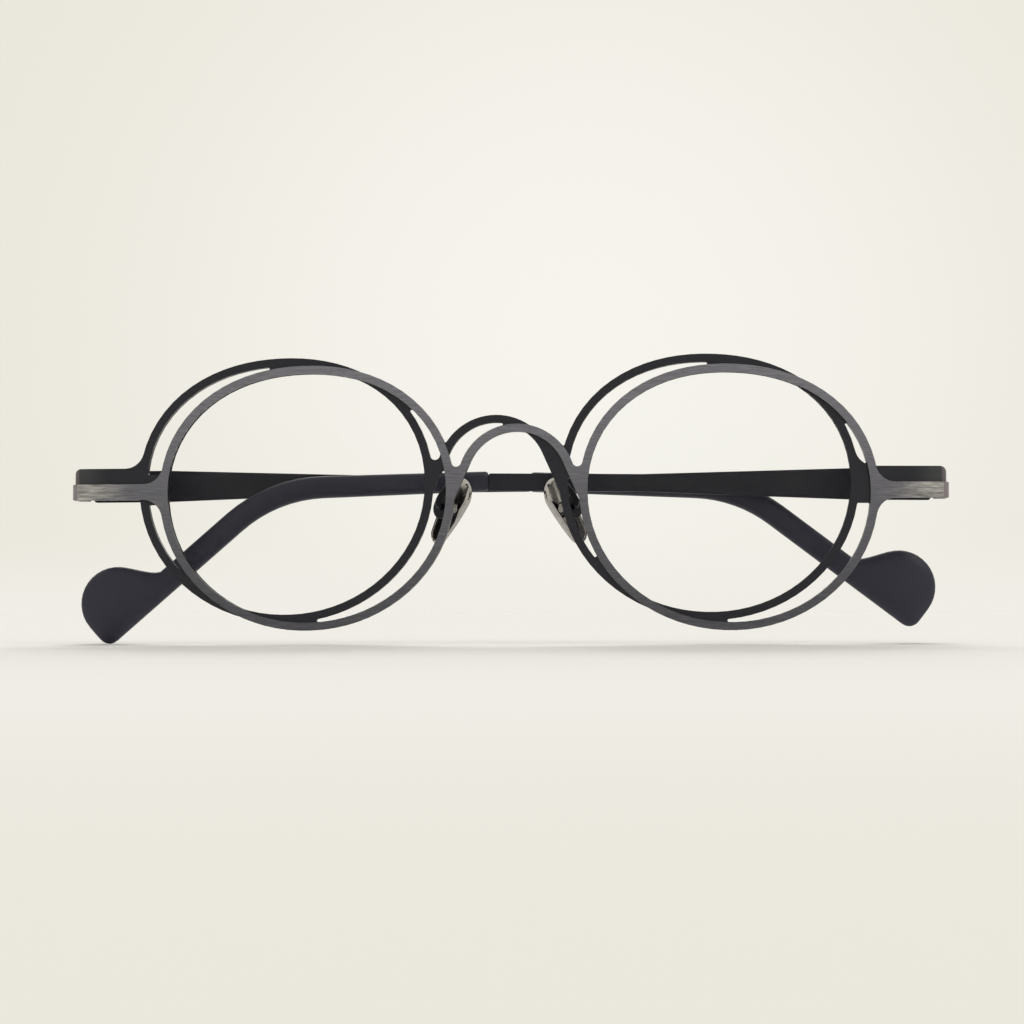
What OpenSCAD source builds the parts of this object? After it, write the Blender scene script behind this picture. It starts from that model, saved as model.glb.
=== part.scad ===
// Round titanium eyeglasses with a doubled ring front, temples folded.
// X runs across the face, Y from the front of the rims to the back, Z up.
// The wearer's left side is +X. Millimetres.

/* [Lens rings] */
// Width of one ring on the middle line of its band
ring_w = 46.65; // [44:0.05:49]
// Height of one ring on the middle line of its band
ring_h = 41.4; // [38:0.2:45]
// Squareness of the oval, where 2 is an ellipse
ring_power = 2.07; // [2:0.01:2.3]
// Share by which the oval's upper half is fuller than its lower half
ring_fullness = 0.012; // [0:0.002:0.03]
// Lean of the oval's long axis up towards the nose, degrees
ring_lean = 2.2; // [0:0.2:5]
// Width of the band seen from the front
band_w = 1.3; // [1.1:0.05:1.8]
// Distance between the two eye centres
eye_pitch = 68; // [66:0.5:74]
// Sideways step from the rear outline to the front outline
step_x = 3.3; // [2.4:0.05:4.5]
// Downward step from the rear outline to the front outline
step_z = 1.45; // [1:0.05:2.4]
// Distance that the rear rings stand wider apart than the front ones
rear_spread = 0.3; // [0:0.05:0.5]
// Turn of the rear outline about the middle, up on the wearer's left, degrees
rear_turn = 0.3; // [0:0.05:0.5]
// Widest gap between the two outlines that the rear plate closes
web_gap = 0.46; // [0.3:0.02:0.8]

/* [Sheet metal] */
// Radius of the front's curve across the face
face_r = 600; // [300:20:1200]
// Thickness of the rear plate
plate_t = 1.6; // [1.4:0.1:2.2]
// Thickness of the front layer
layer_t = 0.4; // [0.3:0.05:0.8]
// Distance from the middle to the outer face of a side tab
half_w = 70.8; // [69:0.2:76]
// Outer radius of the bend at each side
bend_r = 1.8; // [1.8:0.1:3]
// Length of the side tab behind the bend
tab_len = 4.6; // [4:0.1:7]

/* [Bridge] */
// Height of the arch's crown over the eye centres
crown_h = 11.55; // [10:0.1:14]
// Width of the arch's band
arch_w = 1.45; // [1.2:0.05:2]
// Thinning of the arch's band at its crown
arch_thin = 0.2; // [0:0.05:0.4]
// Gap between the arch's circle and the rings
arch_gap = 0.5; // [0.3:0.05:1]
// Fillet where the arch meets a ring
crotch_r = 0.8; // [0.5:0.05:1.2]
// Half width of the nose opening at its foot
nose_foot_w = 16; // [14:0.5:18]
// Depth of the nose opening's foot under the eye centres
nose_foot_h = 14; // [12:0.5:18]
// Radius of the web where the arches cross over the wearer's left pad
cross_web_r = 1.4; // [1:0.1:1.6]
// Distance of that web from the middle
cross_web_x = 7.7; // [7:0.1:8.4]
// Height of that web over the eye centres
cross_web_z = 6.2; // [5.6:0.1:6.8]

/* [Side strips] */
// Height of one strip
strip_h = 2.55; // [2.2:0.05:3.2]
// Height of the seam between the strips over the eye centres
strip_z = 1.45; // [0:0.05:3]
// Fillet where a strip meets a ring
strip_fillet = 3.2; // [2:0.1:4]
// Rounding of the rear strip's upper outer corner
strip_corner = 1.2; // [0.4:0.1:2]
// Rounding of the front strip's lower outer corner
strip_corner_front = 0.3; // [0.2:0.1:1]
// Reach over the seam of the web that ties the two rings behind a strip
web_over = 1.5; // [1:0.1:2.4]
// Reach of that web under the seam
web_under = 3.4; // [2.6:0.1:4]

/* [Lenses] */
// Radius of the lens front
lens_r = 150; // [100:5:300]
// Thickness of the lens
lens_t = 1.8; // [1.4:0.1:2.4]
// Depth of the groove in the band
groove_d = 0.45; // [0.3:0.05:0.6]
// Width of the groove
groove_w = 0.8; // [0.6:0.05:1]
// Clearance all round the lens
lens_clear = 0.06; // [0.03:0.01:0.12]

/* [Hinges] */
// Radius of the hinge barrel
barrel_r = 1.3; // [1.1:0.05:1.6]
// Height of the three knuckles together
barrel_h = 4.4; // [4:0.1:5]
// Gap between two knuckles
knuckle_gap = 0.1; // [0.05:0.01:0.2]
// Clearance between the barrel and the sheet beside it
barrel_clear = 0.3; // [0.2:0.05:0.5]
// Thickness of a hinge leaf
leaf_t = 0.9; // [0.7:0.05:1.2]
// Length of the temple's hinge leaf
leaf_len = 5; // [4:0.2:8]
// Height of the temple's hinge leaf
leaf_h = 3.6; // [3:0.1:4.4]
// Radius of the hinge screw's shank
screw_r = 0.6; // [0.5:0.05:0.7]
// Running clearance round the shank
screw_clear = 0.05; // [0.02:0.01:0.1]
// Radius of the hinge screw's head
screw_head_r = 1; // [0.9:0.05:1.2]
// Height of the hinge screw's head
screw_head_h = 0.45; // [0.3:0.05:0.7]
// Width of the driver slot in the head
slot_w = 0.24; // [0.16:0.02:0.4]
// Depth of the driver slot
slot_d = 0.22; // [0.1:0.02:0.28]
// Distance that the temple's butt reaches ahead of the pivot
butt_lead = 1.1; // [0.8:0.05:1.5]
// Gap between the temple's butt and the side tab when open
butt_gap = 0.15; // [0.1:0.01:0.3]

/* [Temples] */
// Thickness of the temple strip
arm_t = 1.1; // [0.9:0.05:1.4]
// Height of the strip at the hinge
arm_h = 5.2; // [4.8:0.1:6]
// Height of the strip where it enters the tip
arm_h_end = 2.9; // [2.4:0.1:3.2]
// Rounding of the strip's corners
arm_round = 0.4; // [0.2:0.1:0.8]
// Length of the full height stretch from the pivot
arm_full = 11; // [8:0.5:14]
// Distance from the pivot at which the strip has tapered
arm_taper = 46; // [40:1:56]
// Distance from the pivot to the start of the tip
tip_start = 71.5; // [66:0.5:78]
// Rise of a temple towards its tip, degrees
temple_rise = 0.4; // [0:0.1:1]
// Fold of the left temple past parallel, degrees
toe_left = 1.5; // [1.2:0.1:1.6]
// Fold of the right temple short of parallel, degrees
toe_right = 1.2; // [1:0.1:1.8]

/* [Temple tips] */
// Height of the tip's middle over the strip's where it starts
tip_lift = 0.15; // [0:0.05:0.4]
// Length of the tip ahead of the ear bend
tip_run = 27.3; // [24:0.1:32]
// Fall of that stretch, degrees
tip_fall = 2.3; // [0:0.1:3]
// Radius of the ear bend
ear_r = 23.4; // [18:0.2:26]
// Slope of the left tip behind the ear bend, degrees
hook_left = 41.6; // [36:0.2:44]
// Slope of the right tip behind the ear bend, degrees
hook_right = 37.4; // [34:0.2:42]
// Length of the sloping stretch up to the bulb
slope_len = 17.2; // [15:0.2:22]
// Half height of the tip where it starts
tip_half = 1.65; // [1.6:0.05:2]
// Half height of the tip on the slope
slope_half = 1.95; // [1.8:0.05:2.4]
// Half thickness of the tip
tip_half_t = 1.3; // [1.1:0.05:1.5]
// Radius of the bulb
bulb_r = 6.05; // [5:0.05:7]
// Offset of the bulb's centre over the middle of the slope
bulb_rise = 2.65; // [1.5:0.05:3.2]
// Half thickness of the bulb
bulb_half_t = 1.6; // [1.4:0.05:2]
// Distance from the bulb's centre to the neck, where it starts to swell
bulb_neck = 8.7; // [8:0.1:11]
// Distance from the bulb's centre to where the swelling meets its circle
bulb_crest = 4.2; // [2.5:0.1:4.5]
// Steepness of the edge at the neck, as rise over run
neck_slope = 0.45; // [0:0.05:0.8]
// Width of the core that runs inside the tip
core_w = 1.6; // [1.2:0.1:2]
// Thickness of the core
core_t = 0.9; // [0.7:0.05:1]
// Clearance round the core
core_clear = 0.03; // [0.02:0.01:0.08]

/* [Nose pads] */
// Length of a pad
pad_len = 11; // [10:0.2:14]
// Width of a pad at its lower end
pad_w = 3.6; // [3:0.1:6]
// Width of a pad at its upper end
pad_w_top = 5.7; // [5:0.1:7]
// Sweep of the lower end back from the nose
pad_sweep = 3.2; // [0:0.1:4]
// Thickness of a pad in its middle
pad_t = 1.2; // [1.1:0.05:1.6]
// Bevel round the edge of the pad's outer face
pad_bevel = 0.3; // [0.2:0.05:0.4]
// Width of the lip inside the bevel
pad_lip = 0.2; // [0.15:0.05:0.4]
// Depth of the face inside the lip
pad_dish = 0.1; // [0.05:0.05:0.2]
// Radius of the crown on the pad's nose side
pad_crown_r = 30; // [26:1:40]
// Distance from a ring's nose edge in to a pad's centre
pad_in = 2.2; // [1:0.1:3]
// Depth of a pad's centre behind the front
pad_y = 6.6; // [6.2:0.1:7]
// Height of a pad's centre over the eye centres
pad_z = -2.9; // [-4:0.1:-2]
// Turn of a pad about the vertical, degrees
pad_splay = 48; // [40:1:54]
// Lean of a pad outwards at its foot, degrees
pad_tilt = 9; // [6:0.5:20]
// Distance from the pad's back to its screw
pad_seat = 1.3; // [1.2:0.05:1.8]
// Radius of the lug on the pad's back
lug_r = 0.9; // [0.8:0.05:1]
// Thickness of the lug
lug_t = 1; // [0.8:0.05:1.4]
// Clearance round the lug in its box
lug_clear = 0.05; // [0.03:0.01:0.1]
// Thickness of a cheek of the box
cheek_t = 0.5; // [0.4:0.05:0.7]
// Width of a cheek
cheek_w = 2.2; // [2:0.1:2.6]
// Reach of a cheek past the screw towards the pad
cheek_reach = 0.75; // [0.7:0.05:1]
// Radius of the box's round plate
pad_plate_r = 1.9; // [1.7:0.05:2.3]
// Thickness of the round plate
pad_plate_t = 0.5; // [0.4:0.05:0.8]
// Radius of the pad screw's shank
pad_screw_r = 0.4; // [0.35:0.05:0.45]
// Radius of the pad screw's head
pad_head_r = 0.75; // [0.65:0.05:0.9]
// Height of the pad screw's head
pad_head_h = 0.35; // [0.25:0.05:0.5]
// Radius of the wire that carries a pad
wire_r = 0.5; // [0.4:0.05:0.6]
// Pull of the wire's bend behind the rear plate
wire_out = 2.2; // [1.8:0.1:3]
// Pull of the wire's bend behind the round plate
wire_back = 2.6; // [2:0.1:3.2]
// Height of the wire's root over the eye centres
wire_z = 1.5; // [0.8:0.1:2.2]

/* [Hidden] */

RING_POINTS = 72;
FACE_STEPS = 14;
BEND_STEPS = 8;
REACH = 30;
EPS = 0.01;
TIP_SIDES = 20;
TIP_SQUARE = 0.72;
EDGE_POWER = 0.35;
START_RUN = 0.5;
START_ROUND = 0.16;
WIRE_SIDES = 12;
WIRE_STEPS = 12;
BLACK = [0.13, 0.13, 0.15];
GREY = [0.45, 0.45, 0.46];
STEEL = [0.55, 0.54, 0.52];
NAVY = [0.2, 0.2, 0.24];

// Polar radius of the ring's middle line
function oval_radius(a) =
    pow(pow(abs(cos(a)) / (ring_w / 2), ring_power) + pow(abs(sin(a)) / (ring_h / 2), ring_power), -1 / ring_power)
    * (1 + ring_fullness * sin(3 * a));

// Closed outline of the ring's middle line, moved out by grow
function oval_points(grow) = [
    for (i = [0 : RING_POINTS - 1])
        let (a = 360 * i / RING_POINTS, r = oval_radius(a) + grow)
        [r * cos(a + ring_lean), r * sin(a + ring_lean)]
];

// Corner of the front's curve, seen from above
corner_x = half_w - bend_r;
corner_y = face_r - sqrt(pow(face_r - bend_r, 2) - pow(corner_x, 2));
corner_a = asin(corner_x / (face_r - bend_r));
tab_end = corner_y + tab_len;

// Front surface seen from above, set back by depth, from the middle out to the tab's end
function half_path(depth) = concat(
    [for (i = [0 : FACE_STEPS])
        let (a = corner_a * i / FACE_STEPS)
        [(face_r - depth) * sin(a), face_r - (face_r - depth) * cos(a)]],
    [for (i = [1 : BEND_STEPS])
        let (a = corner_a + (90 - corner_a) * i / BEND_STEPS)
        [corner_x + (bend_r - depth) * sin(a), corner_y - (bend_r - depth) * cos(a)]],
    [[half_w - depth, tab_end]]
);
function mirrored(path) = [for (i = [len(path) - 1 : -1 : 1]) [-path[i][0], path[i][1]]];
function full_path(depth) = concat(mirrored(half_path(depth)), half_path(depth));
function reversed(path) = [for (i = [len(path) - 1 : -1 : 0]) path[i]];

// Depth of the plate's front surface at a distance from the middle
function face_y(x) = face_r - sqrt(face_r * face_r - x * x);

// Temple hinge
arm_in = barrel_r + barrel_clear;
pivot_x = half_w + layer_t / 2 - plate_t / 2 - arm_t / 2 - arm_in;
pivot_y = tab_end + butt_gap + butt_lead;
tab_in = half_w - plate_t - pivot_x;
knuckle_h = (barrel_h - 2 * knuckle_gap) / 3;
hinge_bore_r = screw_r + screw_clear;

// Tip: distances along its spine
function turn_end(hook) = tip_run + ear_r * (hook - tip_fall) * PI / 180;
function tip_end(hook) = turn_end(hook) + slope_len + bulb_r * 2;
function heading(u, hook) =
    u < tip_run ? tip_fall : u < turn_end(hook) ? tip_fall + (u - tip_run) / ear_r * 180 / PI : hook;
function spine(u, hook) =
    u <= tip_run ? [u * cos(tip_fall), tip_lift - u * sin(tip_fall)]
    : u <= turn_end(hook)
        ? spine(tip_run, hook)
            + ear_r * [sin(heading(u, hook)) - sin(tip_fall), cos(heading(u, hook)) - cos(tip_fall)]
        : spine(turn_end(hook), hook) + (u - turn_end(hook)) * [cos(hook), -sin(hook)];

// Tip: edges over and under the spine, a being the distance from the bulb's centre
neck_a = -bulb_neck;
crest_a = -bulb_crest;
heel_r = slope_half;
heel_a = bulb_r - heel_r;
function smooth(t) = t * t * (3 - 2 * t);
function mix(p, q, t) = p + (q - p) * t;
function bulb_edge(a) = bulb_rise + sqrt(max(0, bulb_r * bulb_r - a * a));
neck_run = crest_a - neck_a;
crest_slope = -crest_a / sqrt(bulb_r * bulb_r - crest_a * crest_a);
function swell(t) =
    mix(slope_half, bulb_edge(crest_a), smooth(t))
    + neck_run * (neck_slope * t * (1 - t) * (1 - t) - crest_slope * t * t * (1 - t));
function body_half(u, hook) = mix(tip_half, slope_half, min(1, u / turn_end(hook)));
function upper(u, hook) =
    let (a = u - tip_end(hook) + bulb_r)
    a < neck_a ? body_half(u, hook)
    : a < crest_a ? swell((a - neck_a) / neck_run)
    : bulb_edge(a);
function lower(u, hook) =
    let (a = u - tip_end(hook) + bulb_r)
    a < heel_a ? -body_half(u, hook) : -sqrt(max(0, heel_r * heel_r - pow(a - heel_a, 2)));
function half_t(u, hook) =
    let (a = u - tip_end(hook) + bulb_r, rest = 1 - pow(max(0, a) / (bulb_r + EPS), 2))
    mix(tip_half_t, bulb_half_t, smooth(min(1, max(0, (a - neck_a) / bulb_neck)))) * pow(max(0, rest), EDGE_POWER);
function start_scale(u) = 1 - START_ROUND * pow(max(0, 1 - u / START_RUN), 2);

function tip_stations(hook) = concat(
    [for (i = [0 : 2]) START_RUN * i / 2],
    [for (i = [1 : 5]) tip_run * i / 5],
    [for (i = [1 : 8]) mix(tip_run, turn_end(hook), i / 8)],
    [for (i = [1 : 3]) mix(turn_end(hook), tip_end(hook) - bulb_r + neck_a, i / 3)],
    [for (i = [1 : 7]) tip_end(hook) - bulb_r + mix(neck_a, crest_a, i / 7)],
    [for (i = [1 : 14]) tip_end(hook) - bulb_r + bulb_r * sin(mix(asin(crest_a / bulb_r), 89.5, i / 14))]
);
function rounded(x) = sign(x) * pow(abs(x), TIP_SQUARE);
function tip_ring(u, hook) =
    let (
        at = spine(u, hook),
        way = heading(u, hook),
        mid = (upper(u, hook) + lower(u, hook)) / 2,
        half = (upper(u, hook) - lower(u, hook)) / 2 * start_scale(u),
        thick = half_t(u, hook) * start_scale(u)
    )
    [for (k = [0 : TIP_SIDES - 1])
        let (c = 360 * k / TIP_SIDES, b = mid + half * rounded(sin(c)))
        [thick * rounded(cos(c)), at[0] + b * sin(way), at[1] + b * cos(way)]];

// Place in the folded object of a point given in a temple's own frame:
// out of the pivot, along the temple and up from the strip's middle line
function rise_point(p) = [
    p[0],
    p[1] * cos(temple_rise) - p[2] * sin(temple_rise),
    p[1] * sin(temple_rise) + p[2] * cos(temple_rise)
];
function folded(p, side, toe) =
    let (q = rise_point(p), a = 90 + toe)
    [side * (pivot_x + q[0] * cos(a) - q[1] * sin(a)), pivot_y + q[0] * sin(a) + q[1] * cos(a), strip_z + q[2]];
arm_mid = arm_in + arm_t / 2;
function tip_cloud(side, toe, hook) = [
    for (u = tip_stations(hook))
        for (p = tip_ring(u, hook))
            folded([p[0] + arm_mid, p[1] + tip_start, p[2]], side, toe)
];
left_cloud = tip_cloud(1, toe_left, hook_left);
right_cloud = tip_cloud(-1, -toe_right, hook_right);
cloud = concat(left_cloud, right_cloud);

// Lens seat
eye_x = eye_pitch / 2;
eye_y = face_y(eye_x);
eye_turn = asin(eye_x / face_r);
groove_mid = plate_t / 2;
lens_sag = lens_r - sqrt(lens_r * lens_r - pow(ring_w / 2 - band_w, 2));
lens_front = groove_mid - lens_t / 2 - lens_sag;

// Middle and foot of the whole object, from which it is placed on its origin
outer_x = half_w + layer_t;
x_low = min(-outer_x, min([for (p = cloud) p[0]]));
x_high = max(outer_x, max([for (p = cloud) p[0]]));
y_low = min(-layer_t, eye_y + (lens_front + lens_r) * cos(eye_turn) - lens_r);
y_high = max([for (p = cloud) p[1]]);
z_low = min(min([for (p = cloud) p[2]]), -ring_h / 2 * (1 + ring_fullness) - band_w / 2 - step_z / 2);
ORIGIN = [(x_low + x_high) / 2, (y_low + y_high) / 2, z_low];

module placed() translate(-ORIGIN) children();

// Mirror of the wearer's left half for the right half
module sided(side) mirror([side < 0 ? 1 : 0, 0, 0]) children();

// Outline drawn in X and Z, run through the whole depth
module through() translate([0, REACH, 0]) rotate([90, 0, 0]) linear_extrude(REACH * 2) children();

// Bent sheet between two depths behind the plate's front surface
module sheet(near, far) {
    translate([0, 0, -REACH * 2])
        linear_extrude(REACH * 4)
            polygon(concat(full_path(near), reversed(full_path(far))));
}

// Concave corners filled to a radius
module filleted(r) offset(r = -r, $fn = 36) offset(delta = r) children();

// One outline: dir is -1 for the rear one and 1 for the front one
module stepped(dir) {
    translate([dir * step_x / 2, -dir * step_z / 2]) rotate(dir < 0 ? rear_turn : 0) children();
}
module oval_disc(dir, side, grow) {
    stepped(dir)
        mirror([side > 0 ? 1 : 0, 0])
            translate([-eye_x - (dir < 0 ? rear_spread / 2 : 0), 0])
                polygon(oval_points(grow));
}
module arch(dir) {
    r = eye_x - ring_w / 2 - band_w / 2 - arch_gap;
    stepped(dir) difference() {
        translate([0, crown_h - r]) circle(r, $fn = 72);
        hull() {
            translate([0, crown_h - r + arch_thin]) circle(r - arch_w, $fn = 72);
            translate([-nose_foot_w, -nose_foot_h]) square([nose_foot_w * 2, EPS]);
        }
    }
}
module strip(dir, side) {
    low = strip_z - (dir > 0 ? strip_h : 0);
    end = half_w + (dir > 0 ? layer_t : 0);
    round_r = dir > 0 ? strip_corner_front : strip_corner;
    root = eye_x + ring_w / 2 + (dir * side - 1) * step_x / 2 - band_w / 2;
    mirror([side < 0 ? 1 : 0, 0]) hull() {
        translate([root, low]) square([EPS, strip_h]);
        translate([end - EPS, low + (dir > 0 ? round_r : 0)]) square([EPS, strip_h - round_r]);
        translate([end - round_r, low + (dir > 0 ? round_r : strip_h - round_r)]) circle(round_r, $fn = 32);
        translate([end - round_r - EPS, low]) square([EPS, strip_h]);
    }
}
module outline(dir) {
    difference() {
        union() {
            for (side = [-1, 1])
                filleted(strip_fillet) {
                    oval_disc(dir, side, band_w / 2);
                    strip(dir, side);
                }
            filleted(crotch_r) {
                oval_disc(dir, -1, band_w / 2);
                oval_disc(dir, 1, band_w / 2);
                arch(dir);
            }
        }
        for (side = [-1, 1]) oval_disc(dir, side, -band_w / 2);
    }
}

// Opening that both outlines leave, widened by grow
module aperture(side, grow) {
    intersection() {
        oval_disc(-1, side, grow - band_w / 2);
        oval_disc(1, side, grow - band_w / 2);
    }
}

// Rear plate: both outlines in one bent sheet, narrow gaps closed, lens groove inside
module plate_profile() {
    filleted(web_gap / 2) {
        outline(-1);
        outline(1);
        for (side = [-1, 1])
            translate([side * (eye_x + ring_w / 2) - step_x / 2, strip_z - web_under])
                square([step_x, web_under + web_over]);
        translate([cross_web_x, cross_web_z]) circle(cross_web_r, $fn = 32);
    }
}
module back_frame() {
    color(BLACK) placed() difference() {
        intersection() {
            through() plate_profile();
            sheet(0, plate_t);
        }
        intersection() {
            through() for (side = [-1, 1]) aperture(side, groove_d);
            sheet(groove_mid - groove_w / 2, groove_mid + groove_w / 2);
        }
    }
}

// Brushed front layer that carries the front outline alone
module front_layer() {
    color(GREY) placed() intersection() {
        through() outline(1);
        sheet(-layer_t, 0);
    }
}

// Lens: curved shell with a ridge that sits in the groove
module lens(side) {
    color([0.85, 0.9, 0.92, 0.3]) placed() {
        intersection() {
            through() aperture(side, -lens_clear);
            translate([side * eye_x, eye_y, 0])
                rotate([0, 0, side * eye_turn])
                    translate([0, lens_front + lens_r, 0])
                        difference() {
                            sphere(lens_r, $fn = 240);
                            sphere(lens_r - lens_t, $fn = 240);
                        }
            translate([0, -REACH, 0]) cube([REACH * 8, REACH * 3, REACH * 4], center = true);
        }
        intersection() {
            through() aperture(side, groove_d - lens_clear);
            sheet(groove_mid - groove_w / 2 + lens_clear, groove_mid + groove_w / 2 - lens_clear);
        }
    }
}

// Hinge parts are drawn round the pivot: X out, Y back, Z up from the strips' seam
module at_pivot(side) placed() sided(side) translate([pivot_x, pivot_y, strip_z]) children();
module hinge_front(side) {
    leaf_end = -barrel_r - barrel_clear;
    leaf_from = corner_y - pivot_y;
    color(BLACK) at_pivot(side) difference() {
        union() {
            translate([tab_in - leaf_t, leaf_from, -barrel_h / 2]) cube([leaf_t, leaf_end - leaf_from, barrel_h]);
            for (low = [-barrel_h / 2, barrel_h / 2 - knuckle_h])
                translate([0, 0, low]) {
                    cylinder(r = barrel_r, h = knuckle_h, $fn = 48);
                    translate([0, leaf_end, 0]) cube([tab_in, -leaf_end, knuckle_h]);
                }
        }
        translate([0, 0, -barrel_h]) cylinder(r = hinge_bore_r, h = barrel_h * 2, $fn = 48);
    }
}
module hinge_screw(side) {
    color(STEEL) at_pivot(side) difference() {
        union() {
            translate([0, 0, -barrel_h / 2]) cylinder(r = screw_r, h = barrel_h + EPS, $fn = 48);
            translate([0, 0, barrel_h / 2]) cylinder(r = screw_head_r, h = screw_head_h, $fn = 48);
        }
        translate([-screw_head_r, -slot_w / 2, barrel_h / 2 + screw_head_h - slot_d])
            cube([screw_head_r * 2, slot_w, screw_head_h]);
    }
}

// Everything on a temple is drawn as if open, then turned to its folded place
module on_temple(side) {
    toe = side > 0 ? toe_left : -toe_right;
    at_pivot(side) rotate([0, 0, 90 + toe]) children();
}
module risen() rotate([temple_rise, 0, 0]) children();
module side_profile(from, thick) {
    translate([from, 0, 0]) rotate([90, 0, 90]) linear_extrude(thick) children();
}
module hinge_temple(side) {
    neck = barrel_r + barrel_clear + knuckle_gap;
    color(BLACK) on_temple(side) difference() {
        union() {
            translate([0, 0, -knuckle_h / 2]) cylinder(r = barrel_r, h = knuckle_h, $fn = 48);
            translate([arm_in - leaf_t, 0, -knuckle_h / 2]) cube([leaf_t, neck + leaf_t, knuckle_h]);
            side_profile(arm_in - leaf_t, leaf_t) hull() {
                translate([neck, -leaf_h / 2]) square([EPS, leaf_h]);
                translate([neck + leaf_len - leaf_h / 2, 0]) circle(leaf_h / 2, $fn = 32);
            }
        }
        translate([0, 0, -knuckle_h]) cylinder(r = hinge_bore_r, h = knuckle_h * 2, $fn = 48);
    }
}

// Core: the strip's own tail that runs on inside the tip
function core_edge(hook, off) = [
    for (u = concat([0], [for (i = [0 : 6]) mix(tip_run, turn_end(hook), i / 6)], [turn_end(hook) + slope_len / 2]))
        let (way = heading(u, hook))
        spine(u, hook) + off * [sin(way), cos(way)]
];
module core_profile(hook, grow) {
    half = core_w / 2 + grow;
    translate([tip_start, 0]) polygon(concat(core_edge(hook, half), reversed(core_edge(hook, -half))));
}
module core(hook, grow) side_profile(arm_mid - core_t / 2 - grow, core_t + 2 * grow) core_profile(hook, grow);

module temple_arm(side) {
    hook = side > 0 ? hook_left : hook_right;
    color(BLACK) on_temple(side) risen() {
        side_profile(arm_in, arm_t) offset(r = arm_round, $fn = 32) offset(delta = -arm_round) polygon([
            [-butt_lead, -arm_h / 2], [arm_full, -arm_h / 2], [arm_taper, -arm_h_end / 2],
            [tip_start, -arm_h_end / 2], [tip_start, arm_h_end / 2], [arm_taper, arm_h_end / 2],
            [arm_full, arm_h / 2], [-butt_lead, arm_h / 2]
        ]);
        translate([0, -EPS, 0]) core(hook, 0);
    }
}

// Closed skin over a row of rings with the same number of points
function quad(i, k, sides) =
    let (
        p = i * sides + k,
        q = i * sides + (k + 1) % sides
    )
    [[p, p + sides, q], [q, p + sides, q + sides]];
module loft(rings) {
    sides = len(rings[0]);
    last = len(rings) - 1;
    polyhedron(
        [for (ring = rings) for (p = ring) p],
        concat(
            [[for (k = [0 : sides - 1]) k]],
            [for (i = [0 : last - 1])
                for (k = [0 : sides - 1])
                    for (tri = quad(i, k, sides)) tri],
            [[for (k = [sides - 1 : -1 : 0]) last * sides + k]]
        ),
        convexity = 6
    );
}

// Tip: a smooth loft along the spine, with a socket for the core
module temple_tip(side) {
    hook = side > 0 ? hook_left : hook_right;
    color(NAVY) on_temple(side) risen() difference() {
        translate([arm_mid, tip_start, 0]) loft([for (u = tip_stations(hook)) tip_ring(u, hook)]);
        core(hook, core_clear);
        translate([arm_mid - core_t / 2 - core_clear, tip_start - 1, tip_lift - core_w / 2 - core_clear])
            cube([core_t + 2 * core_clear, 1 + EPS, core_w + 2 * core_clear]);
    }
}

// Nose pads are drawn round their screw: X away from the nose, Y the screw, Z the pad's length
pad_x = eye_x - ring_w / 2 - pad_in;
wire_x = eye_x - ring_w / 2 - step_x / 2;
plate_at = lug_r + lug_clear * 2;
box_half = lug_t / 2 + lug_clear;
pad_bore_r = pad_screw_r + screw_clear;
function pad_turn(p) =
    let (
        x = p[0] * cos(pad_tilt) - p[2] * sin(pad_tilt),
        z = p[0] * sin(pad_tilt) + p[2] * cos(pad_tilt)
    )
    [x * cos(pad_splay) + p[1] * sin(pad_splay), -x * sin(pad_splay) + p[1] * cos(pad_splay), z];
pad_pivot = [pad_x, pad_y, pad_z] + pad_turn([pad_seat + pad_t / 2, 0, 0]);
module at_pad(side) {
    placed() sided(side) translate(pad_pivot) rotate([0, 0, -pad_splay]) rotate([0, -pad_tilt, 0]) children();
}

// Cylinder along the screw, centred on it
module cross_pin(r, length) rotate([90, 0, 0]) translate([0, 0, -length / 2]) cylinder(r = r, h = length, $fn = 48);
module pad_outline() {
    hull() {
        translate([(pad_w_top - pad_len) / 2, 0]) circle(pad_w_top / 2, $fn = 64);
        translate([(pad_len - pad_w) / 2, pad_sweep]) circle(pad_w / 2, $fn = 64);
    }
}
module pad_slab(inset, thick) rotate([0, 90, 0]) linear_extrude(thick) offset(delta = -inset) pad_outline();
module nose_pad(side) {
    foot = pad_seat + pad_dish + EPS;
    color(STEEL) at_pad(side) difference() {
        union() {
            translate([-pad_seat - pad_t, 0, 0]) difference() {
                intersection() {
                    hull() {
                        pad_slab(0, pad_t - pad_bevel);
                        pad_slab(pad_bevel, pad_t);
                    }
                    translate([pad_crown_r, 0, 0]) sphere(pad_crown_r, $fn = 200);
                }
                translate([pad_t - pad_dish, 0, 0]) pad_slab(pad_bevel + pad_lip, pad_t);
            }
            cross_pin(lug_r, lug_t);
            translate([-foot, -lug_t / 2, -lug_r]) cube([foot, lug_t, lug_r * 2]);
        }
        cross_pin(pad_bore_r, lug_t * 2);
    }
}
module pad_box(side) {
    color(BLACK) at_pad(side) difference() {
        union() {
            translate([plate_at, 0, 0]) rotate([0, 90, 0]) cylinder(r = pad_plate_r, h = pad_plate_t, $fn = 64);
            for (low = [box_half, -box_half - cheek_t])
                translate([-cheek_reach, low, -cheek_w / 2]) cube([plate_at + cheek_reach + EPS, cheek_t, cheek_w]);
        }
        cross_pin(pad_bore_r, (box_half + cheek_t) * 3);
    }
}
module pad_screw(side) {
    reach = box_half + cheek_t;
    color(STEEL) at_pad(side) {
        cross_pin(pad_screw_r, (reach + EPS) * 2);
        translate([0, -reach - pad_head_h / 2, 0]) cross_pin(pad_head_r, pad_head_h);
    }
}

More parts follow.
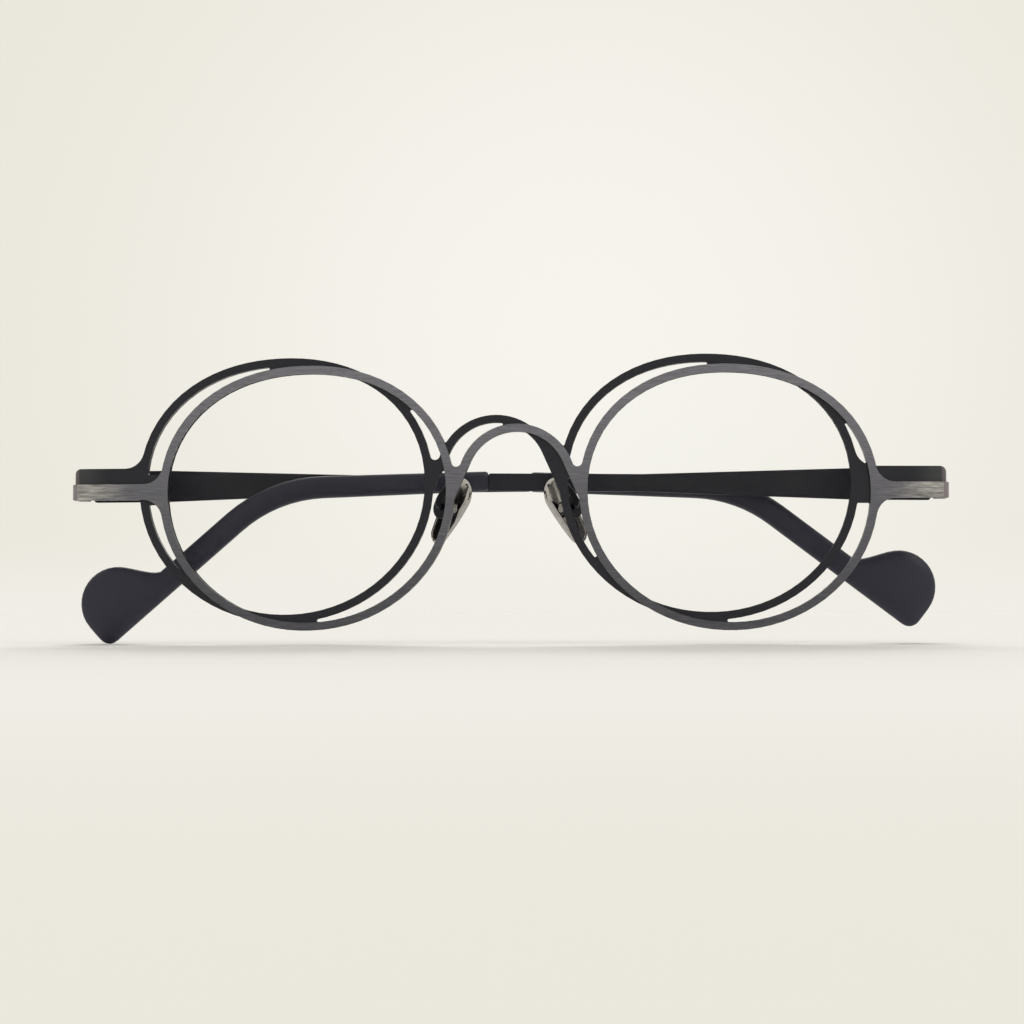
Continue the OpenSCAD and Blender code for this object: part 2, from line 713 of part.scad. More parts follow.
// Wire bent from the rear plate to the back of the pad's round plate
wire_root = [wire_x, face_y(wire_x) + plate_t, wire_z];
wire_seat = pad_pivot + pad_turn([plate_at + pad_plate_t, 0, 0]);
wire_bend = [
    wire_root, wire_root + [0, wire_out, 0],
    wire_seat + pad_turn([wire_back, 0, 0]), wire_seat
];
function wire_point(t) =
    pow(1 - t, 3) * wire_bend[0] + 3 * t * pow(1 - t, 2) * wire_bend[1]
    + 3 * t * t * (1 - t) * wire_bend[2] + t * t * t * wire_bend[3];
function wire_way(t) =
    pow(1 - t, 2) * (wire_bend[1] - wire_bend[0]) + 2 * t * (1 - t) * (wire_bend[2] - wire_bend[1])
    + t * t * (wire_bend[3] - wire_bend[2]);
function unit(v) = v / norm(v);
function wire_ring(t) =
    let (way = unit(wire_way(t)), flat = unit(cross([0, 0, 1], way)), up = cross(way, flat))
    [for (k = [0 : WIRE_SIDES - 1])
        let (c = 360 * k / WIRE_SIDES)
        wire_point(t) + wire_r * (up * cos(c) + flat * sin(c))];
module pad_wire(side) {
    rings = [for (i = [0 : WIRE_STEPS]) wire_ring(i / WIRE_STEPS)];
    color(BLACK) placed() sided(side) loft(rings);
}

back_frame();
front_layer();
lens(1);  // lens_left
lens(-1);  // lens_right
hinge_front(1);  // hinge_front_left
hinge_front(-1);  // hinge_front_right
hinge_screw(1);  // hinge_screw_left
hinge_screw(-1);  // hinge_screw_right
hinge_temple(1);  // hinge_temple_left
hinge_temple(-1);  // hinge_temple_right
temple_arm(1);  // temple_arm_left
temple_arm(-1);  // temple_arm_right
temple_tip(1);  // temple_tip_left
temple_tip(-1);  // temple_tip_right
pad_wire(1);  // pad_wire_left
pad_wire(-1);  // pad_wire_right
pad_box(1);  // pad_box_left
pad_box(-1);  // pad_box_right
pad_screw(1);  // pad_screw_left
pad_screw(-1);  // pad_screw_right
nose_pad(1);  // nose_pad_left
nose_pad(-1);  // nose_pad_right
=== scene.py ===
"""Round titanium eyeglasses with a doubled ring front, folded, on a pale studio floor."""

import logging
import math
from dataclasses import dataclass
from enum import Enum
from typing import ClassVar, Union

import bpy
from mathutils import Matrix, Vector


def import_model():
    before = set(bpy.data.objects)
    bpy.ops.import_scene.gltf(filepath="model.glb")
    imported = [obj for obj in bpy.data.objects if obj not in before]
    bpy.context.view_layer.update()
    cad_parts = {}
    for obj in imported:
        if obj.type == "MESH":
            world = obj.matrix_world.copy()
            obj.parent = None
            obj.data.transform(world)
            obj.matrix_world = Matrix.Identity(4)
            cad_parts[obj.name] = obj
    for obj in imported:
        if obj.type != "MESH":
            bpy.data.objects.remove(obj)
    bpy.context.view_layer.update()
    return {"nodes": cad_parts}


LOG = logging.getLogger("eyeglasses")
MM = 0.001

Node = bpy.types.Node
Socket = bpy.types.NodeSocket
Material = bpy.types.Material
Piece = bpy.types.Object
Source = Union[Node, Socket]
Span = tuple[float, float]
Triple = tuple[float, float, float]
Colouring = Union[Node, Socket, Triple]

FULL: Span = (0.0, 1.0)
NOISE: Span = (0.3, 0.7)  # holds most of a noise's values
NOISE_CORE: Span = (0.35, 0.65)  # a narrower span, for more contrast


class Slot(Enum):
    """Material slots of the record."""

    BLACK = "black_titanium"
    BRUSHED = "brushed_titanium"
    LENS = "clear_lens"
    SCREW = "screw_steel"
    TIP = "navy_acetate"
    PAD = "polished_titanium"


class Side(Enum):
    """The wearer's two sides, with the sign of X on each."""

    LEFT = 1
    RIGHT = -1

    def node(self, name: str) -> str:
        """Name of this side's node of a pair."""
        return f"{name}_{self.name.lower()}"


class Nodes:
    """Short way to write a node tree."""

    def __init__(self, tree: bpy.types.NodeTree) -> None:
        """Starts with an empty tree."""
        self.tree = tree
        tree.nodes.clear()

    def add(self, kind: str, **values: object) -> Node:
        """Adds a node.

        Args:
            kind: node type without its ShaderNode prefix.
            values: properties of the node, or values of its inputs by name with _ for a space.

        Returns:
            The new node.
        """
        node = self.tree.nodes.new("ShaderNode" + kind)
        for key, value in values.items():
            if hasattr(node, key):
                setattr(node, key, value)
            else:
                node.inputs[key.replace("_", " ")].default_value = value
        return node

    def link(self, source: Source, target: Socket) -> None:
        """Links a node's first output, or an output socket, to an input socket."""
        socket = source.outputs[0] if isinstance(source, Node) else source
        self.tree.links.new(socket, target)

    def feed(self, value: Union[Source, float, Triple], target: Socket) -> None:
        """Gives an input socket its link or its value.

        Args:
            value: a node, a socket, a number or a colour.
            target: the input socket.
        """
        if isinstance(value, (Node, Socket)):
            self.link(value, target)
        else:
            target.default_value = (*value, 1) if isinstance(value, tuple) else value

    def math(self, operation: str, *terms: Union[Source, float]) -> Socket:
        """Adds a math node.

        Args:
            operation: the node's operation.
            terms: its inputs, sockets or numbers.

        Returns:
            The result's socket.
        """
        node = self.add("Math", operation=operation)
        for socket, value in zip(node.inputs, terms):
            self.feed(value, socket)
        return node.outputs[0]

    def vector(self, operation: str, *terms: Source) -> Node:
        """Adds a vector math node.

        Args:
            operation: the node's operation.
            terms: its vector inputs.

        Returns:
            The node.
        """
        node = self.add("VectorMath", operation=operation)
        for socket, value in zip(node.inputs, terms):
            self.link(value, socket)
        return node

    def split(self, vector: Source) -> bpy.types.NodeOutputs:
        """Splits a vector.

        Args:
            vector: the vector's source.

        Returns:
            The sockets X, Y and Z.
        """
        node = self.add("SeparateXYZ")
        self.link(vector, node.inputs[0])
        return node.outputs

    def remap(self, place: Source, scale: Triple = (1, 1, 1), shift: Triple = (0, 0, 0)) -> Socket:
        """Scales coordinates, then shifts them.

        Args:
            place: the coordinates' source.
            scale: the factors along X, Y and Z.
            shift: the shifts along X, Y and Z.

        Returns:
            The new coordinates' socket.
        """
        node = self.add("Mapping", Location=shift, Scale=scale)
        self.link(place, node.inputs["Vector"])
        return node.outputs[0]

    def noise(self, place: Source, scale: float, detail: float, fine: float = 0.5) -> Socket:
        """Adds a noise.

        Args:
            place: the coordinates' source.
            scale: size of the pattern, larger for finer.
            detail: number of finer layers on it.
            fine: weight of each finer layer.

        Returns:
            The noise's socket, from 0 to 1.
        """
        node = self.add("TexNoise", Scale=scale, Detail=detail, Roughness=fine)
        self.link(place, node.inputs["Vector"])
        return node.outputs["Fac"]

    def bump(self, height: Source, strength: float, depth: float) -> Node:
        """Adds a bump.

        Args:
            height: the relief's source, from 0 to 1.
            strength: share of the bump's effect.
            depth: depth of the relief.

        Returns:
            The bump's node.
        """
        node = self.add("Bump", Strength=strength, Distance=depth)
        self.link(height, node.inputs["Height"])
        return node

    def spread(self, fac: Source, before: Span, after: Span = FULL) -> Socket:
        """Maps a value between two limits to another pair of limits, smoothly and clamped.

        Args:
            fac: the value's source.
            before: limits of the value.
            after: limits of the result.

        Returns:
            The result's socket.
        """
        node = self.add("MapRange", interpolation_type="SMOOTHSTEP")
        for socket, value in zip(node.inputs[1:5], (*before, *after)):
            socket.default_value = value
        self.link(fac, node.inputs[0])
        return node.outputs[0]

    def ramp(self, fac: Source, low: Triple, high: Triple, span: Span = FULL) -> Socket:
        """Adds a colour ramp between two colours.

        Args:
            fac: the source that drives the ramp.
            low: the first colour.
            high: the second colour.
            span: places of the two colours.

        Returns:
            The colour's socket.
        """
        node = self.add("ValToRGB")
        for stop, place, colour in zip(node.color_ramp.elements, span, (low, high)):
            stop.position, stop.color = place, (*colour, 1)
        self.link(fac, node.inputs["Fac"])
        return node.outputs["Color"]

    def blend(self, fac: Source, first: Colouring, second: Colouring) -> Socket:
        """Mixes two colours.

        Args:
            fac: share of the second.
            first: the first colour.
            second: the second colour.

        Returns:
            The colour's socket.
        """
        node = self.add("Mix", data_type="RGBA")
        for index, value in ((0, fac), (6, first), (7, second)):
            self.feed(value, node.inputs[index])
        return node.outputs[2]

    def mix(self, fac: Source, first: Node, second: Node) -> Node:
        """Mixes two shaders.

        Args:
            fac: share of the second.
            first: the first shader.
            second: the second shader.

        Returns:
            The mixed shader.
        """
        node = self.add("MixShader")
        for index, source in enumerate((fac, first, second)):
            self.link(source, node.inputs[index])
        return node

    def seen(self) -> Socket:
        """Tells the rays that show a surface from those that only light by it.

        Returns:
            A socket that is 1 for what the camera sees, directly, in gloss or through glass.
        """
        ray = self.add("LightPath")
        direct = self.math("ADD", ray.outputs["Is Camera Ray"], ray.outputs["Is Glossy Ray"])
        total = self.math("ADD", direct, ray.outputs["Is Transmission Ray"])
        return self.math("MINIMUM", total, 1.0)


class Surface(Nodes):
    """A new material's nodes, with the places and normals of the mesh."""

    def __init__(self, name: str) -> None:
        """Starts the material.

        Args:
            name: the material's name.
        """
        self.material = bpy.data.materials.new(name)
        self.material.use_nodes = True
        super().__init__(self.material.node_tree)
        mesh = self.add("TexCoord")
        self.place, self.normal = mesh.outputs["Object"], mesh.outputs["Normal"]

    def close(self, shader: Node) -> Material:
        """Links the shader to the output and returns the material."""
        self.link(shader, self.add("OutputMaterial").inputs["Surface"])
        return self.material


@dataclass(frozen=True)
class BlackCoat:
    """Matt black coating on titanium: a fine grain, faint streaks and a slow change of gloss."""

    name: str = "black_coat"
    paling: float = 0.0
    dark: Triple = (0.0065, 0.0065, 0.0125)
    light: Triple = (0.0115, 0.0115, 0.0195)
    # Paler towards the side tabs; the tabs' ends get a painted reflection.
    worn: Triple = (0.055, 0.058, 0.059)
    tab_reflection: Triple = (0.13, 0.105, 0.112)
    worn_x: float = 64.5 * MM
    tab_x: float = 69.9 * MM
    specular: float = 0.33
    gloss: Span = (0.36, 0.46)
    grain: float = 5200
    streak: float = 3800
    streak_share: float = 0.5
    streak_squeeze: Triple = (0.06, 0.06, 1.0)
    fine_detail: float = 3.0
    cloud: float = 160
    cloud_detail: float = 1.0
    relief: float = 0.12
    relief_depth: float = 0.01 * MM

    def build(self) -> Material:
        """Builds the material.

        Returns:
            The material.
        """
        n = Surface(self.name)
        grain = n.noise(n.place, self.grain, self.fine_detail)
        drawn = n.remap(n.place, self.streak_squeeze)
        streaks = n.noise(drawn, self.streak, self.fine_detail)
        cloud = n.noise(n.place, self.cloud, self.cloud_detail)
        grain_part = n.math("MULTIPLY", grain, 1 - self.streak_share)
        tone = n.math("MULTIPLY_ADD", streaks, self.streak_share, grain_part)
        coat = n.ramp(tone, self.dark, self.light, NOISE_CORE)
        if self.paling:
            coat = self.paint_ends(n, coat)
        shader = n.add("BsdfPrincipled", Specular_IOR_Level=self.specular)
        n.link(coat, shader.inputs["Base Color"])
        n.link(n.spread(cloud, NOISE, self.gloss), shader.inputs["Roughness"])
        n.link(n.bump(tone, self.relief, self.relief_depth), shader.inputs["Normal"])
        return n.close(shader)

    def paint_ends(self, n: Surface, coat: Socket) -> Socket:
        """Pales the coating towards the side tabs, and gives the tabs' ends a painted reflection.

        Args:
            n: the material's nodes.
            coat: the coating's colour.

        Returns:
            The worn colour's socket.
        """
        away = n.math("ABSOLUTE", n.split(n.place)["X"])
        share = n.spread(away, (self.worn_x, self.tab_x), (0.0, self.paling))
        worn = n.blend(share, coat, self.worn)
        # Painted reflection on the tabs' ends.
        return n.blend(n.math("GREATER_THAN", away, self.tab_x), worn, self.tab_reflection)


@dataclass(frozen=True)
class BrushedTitanium:
    """Dark grey titanium brushed along the face, with black cut edges; painted highlights at the
    strip ends, a painted reflection on the tabs, and painted light and shade by height.
    """

    dark: Triple = (0.11, 0.11, 0.128)
    light: Triple = (0.226, 0.225, 0.254)
    # Painted highlight: the brush lines turn lighter towards the strip ends.
    highlight_dark: Triple = (0.14, 0.137, 0.142)
    highlight_light: Triple = (0.58, 0.562, 0.55)
    highlight_span: Span = (0.38, 0.62)
    highlight_x: Span = (60.5 * MM, 68.5 * MM)
    # Painted reflection on the bent tab ends.
    tab_reflection: Triple = (0.29, 0.25, 0.28)
    tab_x: float = 70.2 * MM
    edge: Triple = (0.006, 0.006, 0.007)
    specular: float = 0.33
    gloss: Span = (0.3, 0.42)
    line: float = 8800
    line_detail: float = 3.0
    line_fine: float = 0.75
    stretch: float = 0.035
    wave: float = 260
    wave_detail: float = 1.0
    wave_lift: float = 0.4 * MM
    relief: float = 0.16
    relief_depth: float = 0.02 * MM
    # Painted light and shade: the metal is scaled lighter towards the top and darker towards the
    # foot.
    painted_shade_z: Span = (4 * MM, 44 * MM)
    tone: Span = (0.62, 1.16)
    facing_front: float = 0.5
    facing_side: float = 0.6

    def build(self) -> Material:
        """Builds the material.

        Returns:
            The material.
        """
        n = Surface("brushed_titanium")
        spot = n.split(n.place)
        away = n.math("ABSOLUTE", spot["X"])
        lines = self.lines(n)
        face = self.face(n, away)
        plain = n.ramp(lines, self.dark, self.light, NOISE)
        # Painted highlight on the brush lines towards the strip ends.
        highlighted = n.ramp(lines, self.highlight_dark, self.highlight_light, self.highlight_span)
        metal = n.blend(n.spread(away, self.highlight_x), plain, highlighted)
        # Painted reflection on the tabs.
        metal = n.blend(n.math("GREATER_THAN", away, self.tab_x), metal, self.tab_reflection)
        # Painted light and shade by height.
        painted_shade_metal = n.vector("SCALE", metal)
        n.link(n.spread(spot["Z"], self.painted_shade_z, self.tone), painted_shade_metal.inputs["Scale"])
        shader = n.add("BsdfPrincipled", Specular_IOR_Level=self.specular)
        n.link(n.blend(face, self.edge, painted_shade_metal.outputs[0]), shader.inputs["Base Color"])
        n.link(face, shader.inputs["Metallic"])
        n.link(n.spread(lines, NOISE, self.gloss), shader.inputs["Roughness"])
        n.link(n.bump(lines, self.relief, self.relief_depth), shader.inputs["Normal"])
        return n.close(shader)

    def lines(self, n: Surface) -> Socket:
        """Brush lines that run along X with a slight waviness.

        Args:
            n: the material's nodes.

        Returns:
            The lines' height from 0 to 1.
        """
        wave = n.noise(n.place, self.wave, self.wave_detail)
        lift = n.add("CombineXYZ")
        n.link(n.math("MULTIPLY", wave, self.wave_lift), lift.inputs["Z"])
        moved = n.vector("ADD", n.place, lift)
        drawn = n.remap(moved, (self.stretch, self.stretch, 1.0))
        return n.noise(drawn, self.line, self.line_detail, self.line_fine)

    def face(self, n: Surface, away: Socket) -> Socket:
        """Mask of the brushed outer faces.

        Args:
            n: the material's nodes.
            away: distance from the middle.

        Returns:
            A socket that is 1 on an outer face of the sheet and 0 on a cut edge.
        """
        normal = n.split(n.normal)
        front = n.math("GREATER_THAN", n.math("ABSOLUTE", normal["Y"]), self.facing_front)
        side = n.math("GREATER_THAN", n.math("ABSOLUTE", normal["X"]), self.facing_side)
        # The tabs' side walls count as outer faces, so they show the painted tab reflection.
        tab_reflection = n.math("GREATER_THAN", away, self.tab_x)
        return n.math("MAXIMUM", front, n.math("MULTIPLY", tab_reflection, side))


@dataclass(frozen=True)
class NavyAcetate:
    """Matt navy charcoal acetate with a silky bloom."""

    dark: Triple = (0.02, 0.02, 0.036)
    light: Triple = (0.026, 0.026, 0.045)
    specular: float = 0.36
    gloss: Span = (0.4, 0.48)
    cloud: float = 140
    grain: float = 6000
    detail: float = 2.0
    relief: float = 0.08
    relief_depth: float = 0.01 * MM

    def build(self) -> Material:
        """Builds the material.

        Returns:
            The material.
        """
        n = Surface("navy_acetate")
        cloud = n.noise(n.place, self.cloud, self.detail)
        grain = n.noise(n.place, self.grain, self.detail)
        shader = n.add("BsdfPrincipled", Specular_IOR_Level=self.specular)
        n.link(n.ramp(grain, self.dark, self.light, NOISE), shader.inputs["Base Color"])
        n.link(n.spread(cloud, NOISE, self.gloss), shader.inputs["Roughness"])
        n.link(n.bump(grain, self.relief, self.relief_depth), shader.inputs["Normal"])
        return n.close(shader)


@dataclass(frozen=True)
class PolishedMetal:
    """Polished metal with faint polishing marks."""

    name: str
    colour: Triple
    gloss: Span
    dull_share: float = 0.86
    marks: float = 900
    marks_detail: float = 4.0

    def build(self) -> Material:
        """Builds the material.

        Returns:
            The material.
        """
        n = Surface(self.name)
        marks = n.noise(n.place, self.marks, self.marks_detail)
        dull = tuple(part * self.dull_share for part in self.colour)
        shader = n.add("BsdfPrincipled", Metallic=1.0)
        n.link(n.ramp(marks, dull, self.colour, NOISE_CORE), shader.inputs["Base Color"])
        n.link(n.spread(marks, NOISE, self.gloss), shader.inputs["Roughness"])
        return n.close(shader)


@dataclass(frozen=True)
class CoatedLens:
    """Clear coated lens: a weak reflection on its faces and a soft shade where light passes."""

    tint: Triple = (0.998, 0.999, 0.998)
    shade: Triple = (0.77, 0.77, 0.77)
    coating: float = 1.05
    gloss: Span = (0.01, 0.05)
    smear: float = 60
    smear_detail: float = 2.0
    facing_front: float = 0.8

    def build(self) -> Material:
        """Builds the material.

        Returns:
            The material.
        """
        n = Surface("coated_lens")
        smear = n.noise(n.place, self.smear, self.smear_detail)
        clear = n.add("BsdfTransparent", Color=(*self.tint, 1))
        gloss = n.add("BsdfGlossy", Color=(1, 1, 1, 1))
        n.link(n.spread(smear, NOISE, self.gloss), gloss.inputs["Roughness"])
        front = n.math("ABSOLUTE", n.split(n.normal)["Y"])
        face = n.math("GREATER_THAN", front, self.facing_front)
        weak = n.add("Fresnel", IOR=self.coating).outputs[0]
        lit = n.mix(n.math("MULTIPLY", weak, face), clear, gloss)
        shaded = n.add("BsdfTransparent", Color=(*self.shade, 1))
        return n.close(n.mix(n.add("LightPath").outputs["Is Shadow Ray"], lit, shaded))


@dataclass(frozen=True)
class Finishes:
    """Every finish of the eyeglasses, built once."""

    black: Material
    worn: Material
    brushed: Material
    lens: Material
    screw: Material
    tip: Material
    pad: Material

    @classmethod
    def build(cls) -> "Finishes":
        """Builds all the finishes.

        Returns:
            The finishes.
        """
        worn = BlackCoat(
            name="worn_black_coat",
            paling=0.85,
            dark=(0.0095, 0.0095, 0.015),
            light=(0.015, 0.015, 0.0225),
        )
        screw = PolishedMetal("turned_steel", colour=(0.55, 0.54, 0.52), gloss=(0.18, 0.3))
        pad = PolishedMetal("polished_titanium", colour=(0.5, 0.48, 0.46), gloss=(0.03, 0.06))
        return cls(
            black=BlackCoat().build(),
            worn=worn.build(),
            brushed=BrushedTitanium().build(),
            lens=CoatedLens().build(),
            screw=screw.build(),
            tip=NavyAcetate().build(),
            pad=pad.build(),
        )


@dataclass
class SubAssembly:
    """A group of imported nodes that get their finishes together."""

    nodes: dict[str, Piece]
    finishes: Finishes

    weld_gap: ClassVar[float] = 0.001 * MM
    flat_angle: ClassVar[float] = 0.2
    edge_steps: ClassVar[int] = 2
    face_weight: ClassVar[int] = 100

    def dress(self, name: str, material: Material, slot: Slot) -> Piece:
        """Gives a node its material.

        Args:
            name: the node's name.
            material: its finish.
            slot: the record's slot, not used.

        Returns:
            The node's object.
        """
        piece = self.nodes[name]
        piece.data.materials.clear()
        piece.data.materials.append(material)
        return piece

    def weld(self, piece: Piece) -> Piece:
        """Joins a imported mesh's faces, so that it shades smoothly.

        Args:
            piece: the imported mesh.

        Returns:
            The same piece.
        """
        weld = piece.modifiers.new("weld", "WELD")
        weld.merge_threshold = self.weld_gap
        piece.data.shade_smooth()
        return piece

    def ease(self, piece: Piece, width: float, corner: float = 40.0) -> Piece:
        """Rounds a piece's sharp edges.

        Args:
            piece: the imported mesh.
            width: width of the rounding.
            corner: least angle of an edge that is rounded, degrees.

        Returns:
            The same piece.
        """
        self.weld(piece)
        flat = piece.modifiers.new("flat", "DECIMATE")
        flat.decimate_type = "DISSOLVE"
        flat.angle_limit = math.radians(self.flat_angle)
        bevel = piece.modifiers.new("edge", "BEVEL")
        bevel.width = width
        bevel.segments = self.edge_steps
        bevel.limit_method = "ANGLE"
        bevel.angle_limit = math.radians(corner)
        shade = piece.modifiers.new("shade", "WEIGHTED_NORMAL")
        shade.weight = self.face_weight
        return piece


@dataclass
class Front(SubAssembly):
    """Rear plate, brushed front layer and lenses."""

    edge: float = 0.06 * MM

    def build(self) -> list[Piece]:
        """Dresses the front's nodes.

        Returns:
            The dressed pieces.
        """
        look = self.finishes
        plate = self.ease(self.dress("back_frame", look.worn, Slot.BLACK), self.edge)
        layer = self.ease(self.dress("front_layer", look.brushed, Slot.BRUSHED), self.edge)
        lenses = [self.dress(side.node("lens"), look.lens, Slot.LENS) for side in Side]
        return [plate, layer, *lenses]


@dataclass
class Temple(SubAssembly):
    """One temple with its hinge: leaves, screw, strip and tip."""

    side: Side
    edge: float = 0.1 * MM

    def build(self) -> list[Piece]:
        """Dresses the temple's nodes.

        Returns:
            The dressed pieces.
        """
        look, node = self.finishes, self.side.node
        pieces = []
        for name in ("hinge_front", "hinge_temple", "temple_arm"):
            pieces.append(self.ease(self.dress(node(name), look.black, Slot.BLACK), self.edge))
        screw = self.dress(node("hinge_screw"), look.screw, Slot.SCREW)
        tip = self.weld(self.dress(node("temple_tip"), look.tip, Slot.TIP))
        return [*pieces, screw, tip]


@dataclass
class NosePad(SubAssembly):
    """One nose pad with its wire, box and screw."""

    side: Side
    edge: float = 0.05 * MM
    pad_corner: float = 12.0

    def build(self) -> list[Piece]:
        """Dresses the pad's nodes.

        Returns:
            The dressed pieces.
        """
        look, node = self.finishes, self.side.node
        wire = self.weld(self.dress(node("pad_wire"), look.black, Slot.BLACK))
        box = self.ease(self.dress(node("pad_box"), look.black, Slot.BLACK), self.edge)
        screw = self.dress(node("pad_screw"), look.screw, Slot.SCREW)
        pad = self.dress(node("nose_pad"), look.pad, Slot.PAD)
        return [wire, box, screw, self.ease(pad, self.edge, self.pad_corner)]


def direction(azimuth: float, elevation: float) -> Vector:
    """Direction from the object to a place round it.

    Args:
        azimuth: degrees from the front, towards the wearer's left.
        elevation: degrees above the floor.

    Returns:
        The direction, of length 1.
    """
    turn, rise = math.radians(azimuth), math.radians(elevation)
    level = math.cos(rise)
    return Vector((math.sin(turn) * level, -math.cos(turn) * level, math.sin(rise)))


@dataclass(frozen=True)
class Camera:
    """The photograph's viewpoint, as fitted to the eyeglasses' outlines."""

    eye_height: float = 24.55 * MM
    front_y: float = -8.59 * MM
    azimuth: float = 2.5
    elevation: float = -2.3
    roll: float = 0.1
    distance: float = 430 * MM
    focal_px: float = 2682.0
    frame_px: float = 1024.0
    centre_px: Span = (506.4, 491.1)
    sensor: float = 36.0
    clip: Span = (0.01, 20.0)

    def build(self) -> None:
        """Places the camera."""
        data = bpy.data.cameras.new("camera")
        data.sensor_width = self.sensor
        data.lens = self.focal_px / self.frame_px * self.sensor
        data.shift_x = (self.frame_px / 2 - self.centre_px[0]) / self.frame_px
        data.shift_y = (self.centre_px[1] - self.frame_px / 2) / self.frame_px
        data.clip_start, data.clip_end = self.clip
        back = direction(self.azimuth, self.elevation)
        target = Vector((0, self.front_y, self.eye_height))
        camera = bpy.data.objects.new("camera", data)
        camera.location = target + back * self.distance
        turn = (-back).to_track_quat("-Z", "Y").to_matrix().to_4x4()
        roll = Matrix.Rotation(math.radians(-self.roll), 4, "Z")
        camera.rotation_euler = (turn @ roll).to_euler()
        bpy.context.scene.collection.objects.link(camera)
        bpy.context.scene.camera = camera


@dataclass(frozen=True)
class Lamp:
    """A soft distant lamp: its place and width in degrees, and its share of the floor's light."""

    name: str
    azimuth: float
    elevation: float
    width: float
    share: float

    def build(self) -> None:
        """Hangs the lamp."""
        data = bpy.data.lights.new(self.name, "SUN")
        data.angle = math.radians(self.width)
        data.energy = self.share * math.pi / math.sin(math.radians(self.elevation))
        lamp = bpy.data.objects.new(self.name, data)
        aim = direction(self.azimuth, self.elevation)
        lamp.rotation_euler = aim.to_track_quat("Z", "Y").to_euler()
        bpy.context.scene.collection.objects.link(lamp)


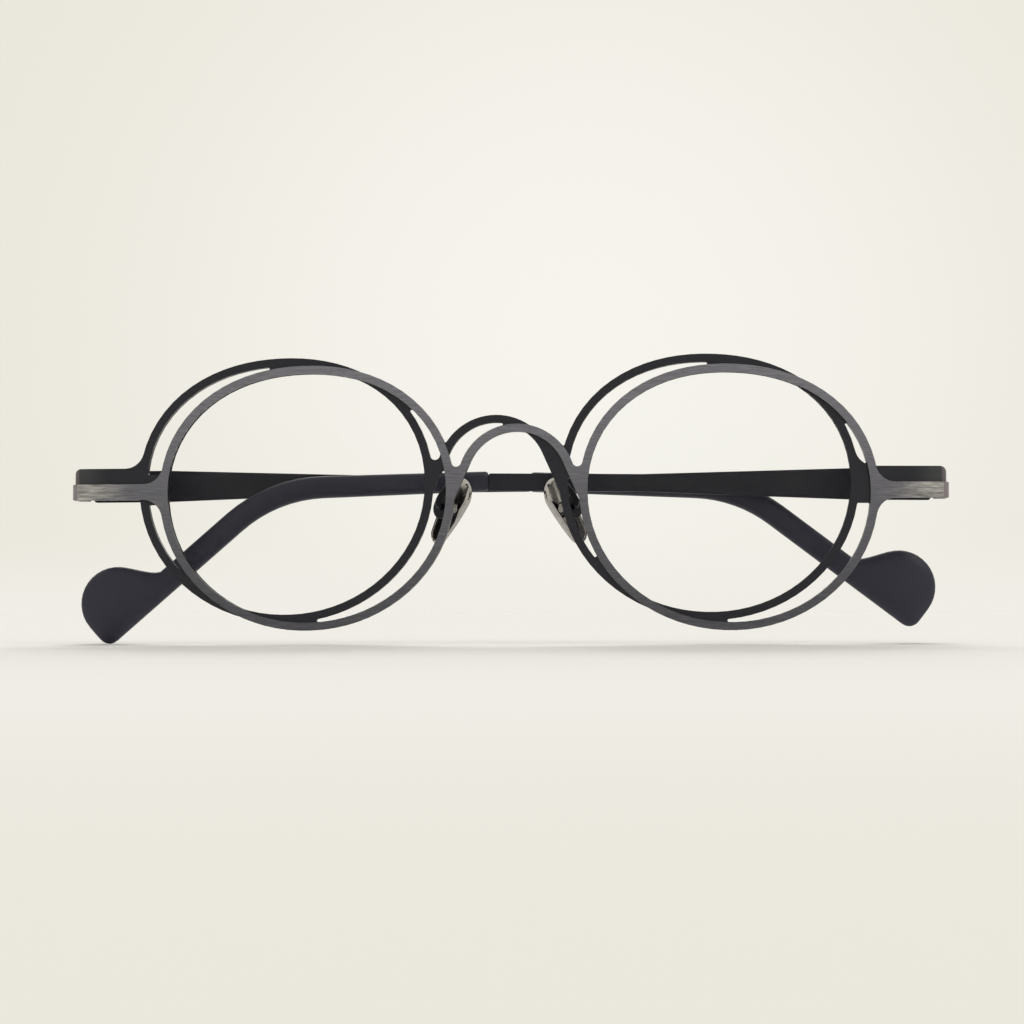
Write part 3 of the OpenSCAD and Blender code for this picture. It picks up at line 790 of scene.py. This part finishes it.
@dataclass
class Studio:
    """Pale floor and backdrop, soft light, and two dark flags that the polished metal reflects."""

    bright: Triple = (0.922, 0.905, 0.847)
    paper: Triple = (0.871, 0.851, 0.791)
    dim: Triple = (0.823, 0.799, 0.716)
    sky: float = 0.44
    lamps: tuple[Lamp, ...] = (
        Lamp("behind", azimuth=180, elevation=25, width=34, share=0.44),
        Lamp("front", azimuth=48, elevation=48, width=40, share=0.12),
    )
    floor_size: float = 12.0
    floor_y: float = 0.5
    floor_reach: Span = (0.6, 0.9)
    floor_fade: Span = (0.8, 1.03)
    backdrop_size: float = 6.0
    backdrop_y: float = 0.9
    glow_z: float = 0.14
    glow_fade: Span = (0.0, 0.36)
    foot_fade: Span = (0.4, 0.556)
    foot_rise: Span = (0.0, 0.045)
    flag_x: float = 0.35
    flag_length: float = 0.8
    flag_z: ClassVar[dict[Side, Span]] = {
        Side.LEFT: (0.1045, 0.1125),
        Side.RIGHT: (0.09, 0.1163),
    }
    flag_dark: Triple = (0.01, 0.01, 0.01)
    flag_light: Triple = (0.02, 0.02, 0.02)
    flag_weave: float = 400
    flag_detail: float = 2.0

    def build(self) -> None:
        """Builds everything round the object."""
        self.world()
        self.floor()
        self.backdrop()
        for side in Side:
            self.flag(side)
        for lamp in self.lamps:
            lamp.build()

    def world(self) -> None:
        """Gives the world the paper's colour where it is seen, and a plain soft light."""
        world = bpy.data.worlds.new("studio")
        world.use_nodes = True
        n = Nodes(world.node_tree)
        light = n.add("Background", Color=(1, 1, 1, 1), Strength=self.sky)
        pale = n.add("Background", Color=(*self.dim, 1))
        n.link(n.mix(n.seen(), light, pale), n.add("OutputWorld").inputs["Surface"])
        bpy.context.scene.world = world

    def floor(self) -> None:
        """Lays the paper floor with a painted pool of light: palest in an oval round the object.
        """
        n = Surface("floor_paper")
        wide, deep = self.floor_reach
        oval = n.remap(n.place, (1 / wide, 1 / deep, 1), (0, -self.floor_y / deep, 0))
        # Painted pool of light: paler near the object, dimmer further off.
        fade = n.spread(n.vector("LENGTH", oval).outputs["Value"], self.floor_fade)
        shader = n.add("BsdfDiffuse")
        n.link(n.ramp(fade, self.paper, self.dim), shader.inputs["Color"])
        self.sheet("floor", self.floor_size, (0, 0, 0), (0, 0, 0), n.close(shader))

    def backdrop(self) -> None:
        """Hangs a backdrop, brightest behind the object, that lets the studio's light through."""
        n = Surface("backdrop_paper")
        from_glow = n.remap(n.place, shift=(0, -self.glow_z, 0))
        away = n.spread(n.vector("LENGTH", from_glow).outputs["Value"], self.glow_fade)
        spot = n.split(n.place)
        aside = n.spread(n.math("ABSOLUTE", spot["X"]), self.foot_fade)
        rise = n.spread(spot["Y"], self.foot_rise)
        foot = n.ramp(aside, self.paper, self.dim)
        glow = n.add("Emission", Strength=1.0)
        n.link(n.blend(rise, foot, n.ramp(away, self.bright, self.dim)), glow.inputs["Color"])
        material = n.close(n.mix(n.seen(), n.add("BsdfTransparent"), glow))
        place = (0, self.backdrop_y, 0)
        self.sheet("backdrop", self.backdrop_size, place, (90, 0, 0), material)

    def flag(self, side: Side) -> None:
        """Stands a dark card beside the object, which only glossy surfaces show.

        Args:
            side: the side it stands on.
        """
        n = Surface("flag_cloth")
        weave = n.noise(n.place, self.flag_weave, self.flag_detail)
        shader = n.add("BsdfDiffuse")
        n.link(n.ramp(weave, self.flag_dark, self.flag_light), shader.inputs["Color"])
        low, high = self.flag_z[side]
        place = (side.value * self.flag_x, 0, (low + high) / 2)
        flag = self.sheet(side.node("flag"), 1.0, place, (0, 90, 0), n.close(shader))
        flag.scale = (high - low, self.flag_length, 1)
        flag.visible_camera = flag.visible_diffuse = False
        flag.visible_transmission = flag.visible_shadow = False

    def sheet(
        self, name: str, size: float, place: Triple, turn: Triple, material: Material
    ) -> Piece:
        """Adds a square sheet to the stage.

        Args:
            name: the sheet's name.
            size: its side.
            place: its middle.
            turn: its turns about X, Y and Z, degrees.
            material: its finish.

        Returns:
            The sheet.
        """
        angles = [math.radians(angle) for angle in turn]
        bpy.ops.mesh.primitive_plane_add(size=size, location=place, rotation=angles)
        sheet = bpy.context.object
        sheet.name = name
        sheet.data.materials.append(material)
        return sheet


def main() -> None:
    """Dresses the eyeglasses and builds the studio."""
    logging.basicConfig(level=logging.INFO, format="%(name)s: %(message)s")
    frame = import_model()
    bpy.context.scene.view_settings.view_transform = "Standard"
    nodes, finishes = frame["nodes"], Finishes.build()
    parts = [Front(nodes, finishes)]
    for side in Side:
        parts += [Temple(nodes, finishes, side), NosePad(nodes, finishes, side)]
    for part in parts:
        for piece in part.build():
            LOG.info("%s: %s in %s", type(part).__name__, piece.name, piece.active_material.name)
    Camera().build()
    Studio().build()


if __name__ == "__main__":
    main()
